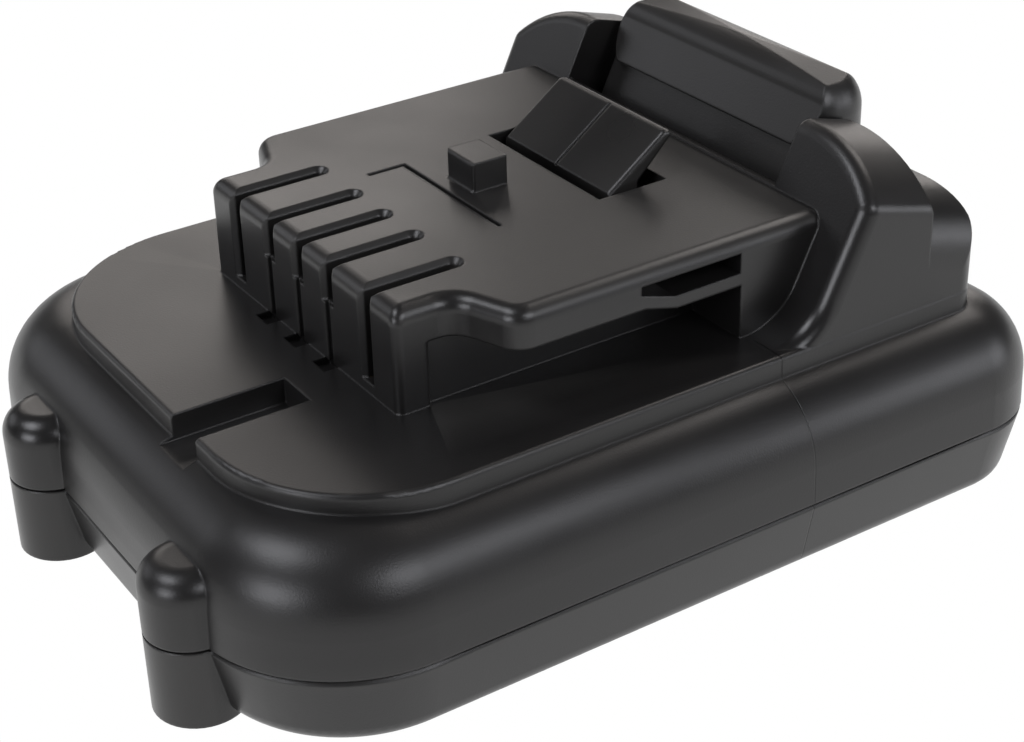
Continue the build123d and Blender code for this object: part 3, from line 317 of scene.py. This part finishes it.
# Release latch. Button, arm and hook are one moulding in the same charcoal plastic, a shade darker and
# glossier than the case. Its two side ribs slide in slanted grooves in the walls of the button's well.
latch_color = (0.0082, 0.0078, 0.0078, 1)
latch_roughness = (0.27, 0.37)

# Its crisp edges get the case's painted highlight colour.
dress(moulded_plastic(
    "latch_plastic", latch_color, case_edge_highlight_color, latch_roughness, case_grain_scale, case_grain_depth,
    case_edge_radius), "release_latch")

# Latch springs. Both are wound from hard drawn steel wire, which keeps fine draw lines and a thin film
# of oil. They stand between the rear cell holder and the latch, and shorten as the latch goes down.
spring_turns = 7
spring_radius = 0.0024
spring_wire_radius = 0.0003
spring_length = 0.0124
spring_gap = 0.00005
spring_steps = 28
spring_sides = 10
spring_x = 0.0095
spring_seat_y = 0.0278
spring_seat_z = 0.0223
latch_line = Vector((0, 0.43837, 0.89879))
wire_color = (0.46, 0.47, 0.49, 1)
oiled_wire_color = (0.30, 0.28, 0.25, 1)
wire_roughness = (0.22, 0.42)
wire_line_stretch = (1, 1, 12)
wire_line_scale = 900.0
wire_line_depth = 0.000006
wire_oil_scale = 260.0
stain_detail = 6.0
stain_from = 0.45
stain_to = 0.75
line_detail = 2.0
line_share = 0.6
stain_share = 0.4


def bare_metal(name, color, stained_color, roughness, stretch, line_scale, line_depth, stain_scale):
    """Metal with fine lines from drawing, rolling or turning and cloudy stains."""
    material, tree, shader, where = new_finish(name)
    shader.inputs["Metallic"].default_value = 1.0
    stains = noise(tree, where, stain_scale, stain_detail)
    lines = noise(tree, where, line_scale, line_detail, stretch)
    tree.links.new(
        blend_colors(tree, ramp(tree, stains, 0, 1, stain_from, stain_to), color, stained_color),
        shader.inputs["Base Color"])
    stained = compute(tree, "MULTIPLY", stains, stain_share)
    tree.links.new(
        ramp(tree, compute(tree, "MULTIPLY_ADD", lines, line_share, stained), *roughness),
        shader.inputs["Roughness"])
    relief(tree, shader, lines, line_depth)
    return material


def wound_spring(name, seat):
    """A closed tube that climbs the latch's line of travel from its seat, turn after turn."""
    across = Vector((1, 0, 0))
    along = latch_line.cross(across)
    start = seat + latch_line * (spring_gap + spring_wire_radius)
    rise = spring_length - 2 * spring_gap - 2 * spring_wire_radius
    slope = rise / (spring_turns * 2 * math.pi * spring_radius)
    rings = spring_turns * spring_steps + 1
    points, faces = [], []
    for ring in range(rings):
        angle = 2 * math.pi * ring / spring_steps
        outward = across * math.cos(angle) + along * math.sin(angle)
        sideways = along * math.cos(angle) - across * math.sin(angle)
        upward = (sideways + latch_line * slope).normalized().cross(outward)
        middle = start + outward * spring_radius + latch_line * (rise * ring / (rings - 1))
        for side in range(spring_sides):
            turn = 2 * math.pi * side / spring_sides
            rim = outward * math.cos(turn) + upward * math.sin(turn)
            points.append(middle + rim * spring_wire_radius)
    for ring in range(rings - 1):
        for side in range(spring_sides):
            here = ring * spring_sides + side
            beside = ring * spring_sides + (side + 1) % spring_sides
            faces.append((here, beside, beside + spring_sides, here + spring_sides))
    faces.append(tuple(reversed(range(spring_sides))))
    faces.append(tuple(range((rings - 1) * spring_sides, rings * spring_sides)))
    mesh = bpy.data.meshes.new(name)
    mesh.from_pydata(points, [], faces)
    mesh.shade_smooth()
    piece = bpy.data.objects.new(name, mesh)
    bpy.context.scene.collection.objects.link(piece)
    return piece


spring_metal = bare_metal(
    "spring_wire", wire_color, oiled_wire_color, wire_roughness, wire_line_stretch, wire_line_scale,
    wire_line_depth, wire_oil_scale)
for side_name, side_x in (("left", -spring_x), ("right", spring_x)):
    spring_seat = Vector((side_x, spring_seat_y, spring_seat_z))
    spring = wound_spring("spring_coil_" + side_name, spring_seat)
    spring.data.materials.append(spring_metal)
    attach(spring, "housing")
    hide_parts("latch_spring_" + side_name)
    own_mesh(spring)

# Cells. Three lithium cells lie side by side. Each steel can is in a teal heat-shrunk sleeve, glossy
# with faint shrink ripples, and its two ends are held by the cell holders.
sleeve_color = (0.010, 0.085, 0.125, 1)
sleeve_deep_color = (0.006, 0.055, 0.085, 1)
sleeve_coat = 0.35
sleeve_coat_roughness = 0.12
sleeve_roughness = (0.24, 0.38)
sleeve_cloud_scale = 55.0
sleeve_cloud_stretch = (1, 0.3, 1)
ripple_scale = 240.0
ripple_detail = 2.0
ripple_stretch = (0.25, 1, 0.25)
ripple_depth = 0.00004

material, tree, shader, where = new_finish("cell_sleeve")
shader.inputs["Coat Weight"].default_value = sleeve_coat
shader.inputs["Coat Roughness"].default_value = sleeve_coat_roughness
sleeve_clouds = noise(tree, where, sleeve_cloud_scale, stretch=sleeve_cloud_stretch)
tree.links.new(
    blend_colors(tree, ramp(tree, sleeve_clouds, 0, 1), sleeve_color, sleeve_deep_color),
    shader.inputs["Base Color"])
tree.links.new(ramp(tree, sleeve_clouds, *sleeve_roughness), shader.inputs["Roughness"])
ripples = noise(tree, where, ripple_scale, ripple_detail, ripple_stretch)
relief(tree, shader, ripples, ripple_depth)
dress(material, "cell_1", "cell_2", "cell_3")

# Cell caps. The positive caps are pressed from nickel-plated steel sheet, which keeps fine press marks
# and light stains, and each is crimped into the end of its can.
cap_color = (0.58, 0.565, 0.52, 1)
cap_stained_color = (0.40, 0.37, 0.31, 1)
cap_roughness = (0.18, 0.36)
cap_mark_stretch = (1, 9, 1)
cap_mark_scale = 700.0
cap_mark_depth = 0.000008
cap_stain_scale = 420.0

dress(bare_metal(
    "cap_nickel", cap_color, cap_stained_color, cap_roughness, cap_mark_stretch, cap_mark_scale,
    cap_mark_depth, cap_stain_scale), "cell_cap_1", "cell_cap_2", "cell_cap_3")

# Cell rings. Washers punched from pressed fibre paper, with the fibres plain to see, lie round the
# positive caps and keep the strips off the rims of the cans.
fibre_color = (0.62, 0.60, 0.53, 1)
fibre_dark_color = (0.44, 0.41, 0.34, 1)
fibre_roughness = (0.72, 0.9)
fibre_scale = 1400.0
fibre_detail = 6.0
fibre_stretch = (0.3, 1, 1.6)
fibre_depth = 0.00003

material, tree, shader, where = new_finish("ring_paper")
fibres = noise(tree, where, fibre_scale, fibre_detail, fibre_stretch)
tree.links.new(
    blend_colors(tree, ramp(tree, fibres, 0, 1), fibre_color, fibre_dark_color),
    shader.inputs["Base Color"])
tree.links.new(ramp(tree, fibres, *fibre_roughness), shader.inputs["Roughness"])
relief(tree, shader, fibres, fibre_depth)
dress(material, "cell_ring_1", "cell_ring_2", "cell_ring_3")

# Cell holders and board tray. They are moulded in smooth black plastic with flow lines, and the cells
# are pushed into the holders. The tray is glued on the cells under the board.
holder_color = (0.026, 0.026, 0.029, 1)
holder_edge_highlight_color = (0.055, 0.055, 0.060, 1)
holder_roughness = (0.28, 0.44)
holder_edge_radius = 0.0002
flow_line_scale = 160.0
flow_line_detail = 3.0
flow_line_stretch = (1, 0.2, 0.2)
flow_line_depth = 0.00002

material, tree, shader, where = new_finish("holder_plastic")
flow = noise(tree, where, flow_line_scale, flow_line_detail, flow_line_stretch)
# Crisp edges are painted paler, a painted highlight.
tree.links.new(edge_wear_and_highlight(tree, holder_color, holder_edge_highlight_color), shader.inputs["Base Color"])
tree.links.new(ramp(tree, flow, *holder_roughness), shader.inputs["Roughness"])
relief(tree, shader, flow, flow_line_depth, holder_edge_radius)
dress(material, "front_cell_holder", "rear_cell_holder", "board_tray")

# Nickel strips. They are cut from rolled nickel tape and spot welded to the cells, which leaves a
# straw-coloured tint in places. Their risers end at the circuit board.
strip_color = (0.62, 0.59, 0.52, 1)
strip_tint_color = (0.42, 0.33, 0.20, 1)
strip_roughness = (0.20, 0.38)
strip_line_stretch = (0.15, 0.15, 1)
strip_line_scale = 1100.0
strip_line_depth = 0.000008
strip_tint_scale = 190.0

dress(bare_metal(
    "strip_nickel", strip_color, strip_tint_color, strip_roughness, strip_line_stretch, strip_line_scale,
    strip_line_depth, strip_tint_scale),
    "strip_positive", "strip_link_front", "strip_link_rear", "strip_negative")

# Circuit board. Green solder mask lies over copper tracks on glass-fibre sheet, so that the tracks show
# as paler and slightly raised bands. The board lies on its tray, and the terminal block is on it.
mask_color = (0.006, 0.062, 0.022, 1)
track_color = (0.014, 0.125, 0.045, 1)
mask_roughness = (0.22, 0.36)
track_scale = 420.0
track_gap = 0.055
track_gap_softness = 0.2
track_length = 1.9
track_height = 0.000035
weave_scale = 2600.0
weave_detail = 2.0
weave_stretch = (1, 0.25, 1)
weave_share = 0.2

material, tree, shader, where = new_finish("board_mask")
tracks = tree.nodes.new("ShaderNodeTexBrick")
tracks.inputs["Scale"].default_value = track_scale
tracks.inputs["Mortar Size"].default_value = track_gap
tracks.inputs["Mortar Smooth"].default_value = track_gap_softness
tracks.inputs["Brick Width"].default_value = track_length
tree.links.new(where, tracks.inputs["Vector"])
weave = noise(tree, where, weave_scale, weave_detail, weave_stretch)
tree.links.new(
    blend_colors(tree, tracks.outputs["Fac"], track_color, mask_color), shader.inputs["Base Color"])
tree.links.new(ramp(tree, weave, *mask_roughness), shader.inputs["Roughness"])
raised = compute(tree, "SUBTRACT", 1.0, tracks.outputs["Fac"])
relief(tree, shader, compute(tree, "MULTIPLY_ADD", weave, weave_share, raised), track_height)
dress(material, "circuit_board")

# Terminal block. It is moulded in black plastic filled with short glass fibres, whose ends show as fine
# pale flecks, and its pegs go through the board.
block_color = (0.018, 0.018, 0.019, 1)
block_fleck_color = (0.07, 0.07, 0.068, 1)
block_roughness = (0.42, 0.58)
block_fleck_scale = 3000.0
block_fleck_share = 0.45
block_fleck_depth = 0.00001
fleck_detail = 2.0
fleck_stretch = (1, 0.4, 1)
small_edge_radius = 0.0001


def flecked_body(name, color, fleck_color, roughness, fleck_scale, fleck_share, depth):
    """Moulded or fired body with small flecks of a second colour."""
    material, tree, shader, where = new_finish(name)
    flecks = noise(tree, where, fleck_scale, fleck_detail, fleck_stretch)
    tree.links.new(
        blend_colors(tree, ramp(tree, flecks, 0, 1, 1 - fleck_share, 1), color, fleck_color),
        shader.inputs["Base Color"])
    tree.links.new(ramp(tree, flecks, *roughness), shader.inputs["Roughness"])
    relief(tree, shader, flecks, depth, small_edge_radius)
    return material


dress(flecked_body(
    "block_plastic", block_color, block_fleck_color, block_roughness, block_fleck_scale, block_fleck_share,
    block_fleck_depth), "terminal_block")

# Contact clips. Each is stamped from spring bronze and folded into two leaves, with rolling marks up
# the leaves and patches of darker tarnish, and stands in the terminal block behind its slot.
clip_color = (0.63, 0.44, 0.16, 1)
clip_tarnish_color = (0.34, 0.20, 0.07, 1)
clip_roughness = (0.20, 0.40)
clip_line_stretch = (1, 1, 0.12)
clip_line_scale = 1300.0
clip_line_depth = 0.000008
clip_tarnish_scale = 310.0

dress(bare_metal(
    "clip_bronze", clip_color, clip_tarnish_color, clip_roughness, clip_line_stretch, clip_line_scale,
    clip_line_depth, clip_tarnish_scale),
    "contact_clip_1", "contact_clip_2", "contact_clip_3", "contact_clip_4", "contact_clip_5")

# Power switches and controller chip. Their bodies are moulded from black epoxy with a fine filler that
# leaves them matt, and they are soldered to the circuit board.
epoxy_color = (0.012, 0.012, 0.014, 1)
epoxy_fleck_color = (0.040, 0.040, 0.044, 1)
epoxy_roughness = (0.46, 0.62)
epoxy_fleck_scale = 5200.0
epoxy_fleck_share = 0.40
epoxy_fleck_depth = 0.000008

dress(flecked_body(
    "chip_epoxy", epoxy_color, epoxy_fleck_color, epoxy_roughness, epoxy_fleck_scale, epoxy_fleck_share,
    epoxy_fleck_depth), "power_switch_left", "power_switch_right", "controller_chip")

# Fuse and resistors. The fuse is a fired ceramic body, and the resistors are ceramic chips under dark
# glaze, all soldered to the board.
ceramic_color = (0.56, 0.54, 0.46, 1)
ceramic_fleck_color = (0.38, 0.35, 0.27, 1)
glaze_color = (0.020, 0.020, 0.024, 1)
glaze_fleck_color = (0.10, 0.10, 0.11, 1)
ceramic_roughness = (0.34, 0.50)
ceramic_fleck_scale = 1900.0
ceramic_fleck_share = 0.50
ceramic_fleck_depth = 0.00001
glaze_roughness = (0.16, 0.30)
glaze_fleck_scale = 2400.0
glaze_fleck_share = 0.35
glaze_fleck_depth = 0.000006

dress(flecked_body(
    "fuse_ceramic", ceramic_color, ceramic_fleck_color, ceramic_roughness, ceramic_fleck_scale,
    ceramic_fleck_share, ceramic_fleck_depth), "board_fuse")
dress(flecked_body(
    "resistor_glaze", glaze_color, glaze_fleck_color, glaze_roughness, glaze_fleck_scale,
    glaze_fleck_share, glaze_fleck_depth), "board_resistors")

# Temperature sensor. A thermistor bead dipped in dark epoxy hangs on two leads in the valley between
# two cells, and the dip has left small sags in its gloss.
bead_color = (0.040, 0.028, 0.018, 1)
bead_deep_color = (0.022, 0.015, 0.010, 1)
bead_coat = 0.5
bead_coat_roughness = 0.08
bead_roughness = (0.18, 0.30)
sag_scale = 700.0
sag_detail = 2.0
sag_depth = 0.00006

material, tree, shader, where = new_finish("sensor_epoxy")
shader.inputs["Coat Weight"].default_value = bead_coat
shader.inputs["Coat Roughness"].default_value = bead_coat_roughness
sags = noise(tree, where, sag_scale, sag_detail)
tree.links.new(
    blend_colors(tree, ramp(tree, sags, 0, 1), bead_color, bead_deep_color),
    shader.inputs["Base Color"])
tree.links.new(ramp(tree, sags, *bead_roughness), shader.inputs["Roughness"])
relief(tree, shader, sags, sag_depth)
dress(material, "thermistor")

# Housing screws. Pan-head steel screws with a hexagonal socket, plated in black zinc, which has worn
# to bare steel on the edges of the heads and sockets. They are driven up from below.
screw_color = (0.085, 0.085, 0.090, 1)
screw_worn_color = (0.36, 0.36, 0.37, 1)
screw_roughness = (0.26, 0.46)
plating_scale = 900.0
plating_detail = 5.0
plating_depth = 0.00001

material, tree, shader, where = new_finish("screw_zinc")
shader.inputs["Metallic"].default_value = 1.0
plating = noise(tree, where, plating_scale, plating_detail)
tree.links.new(edge_wear_and_highlight(tree, screw_color, screw_worn_color), shader.inputs["Base Color"])
tree.links.new(ramp(tree, plating, *screw_roughness), shader.inputs["Roughness"])
relief(tree, shader, plating, plating_depth, small_edge_radius)
dress(material, "housing_screws")
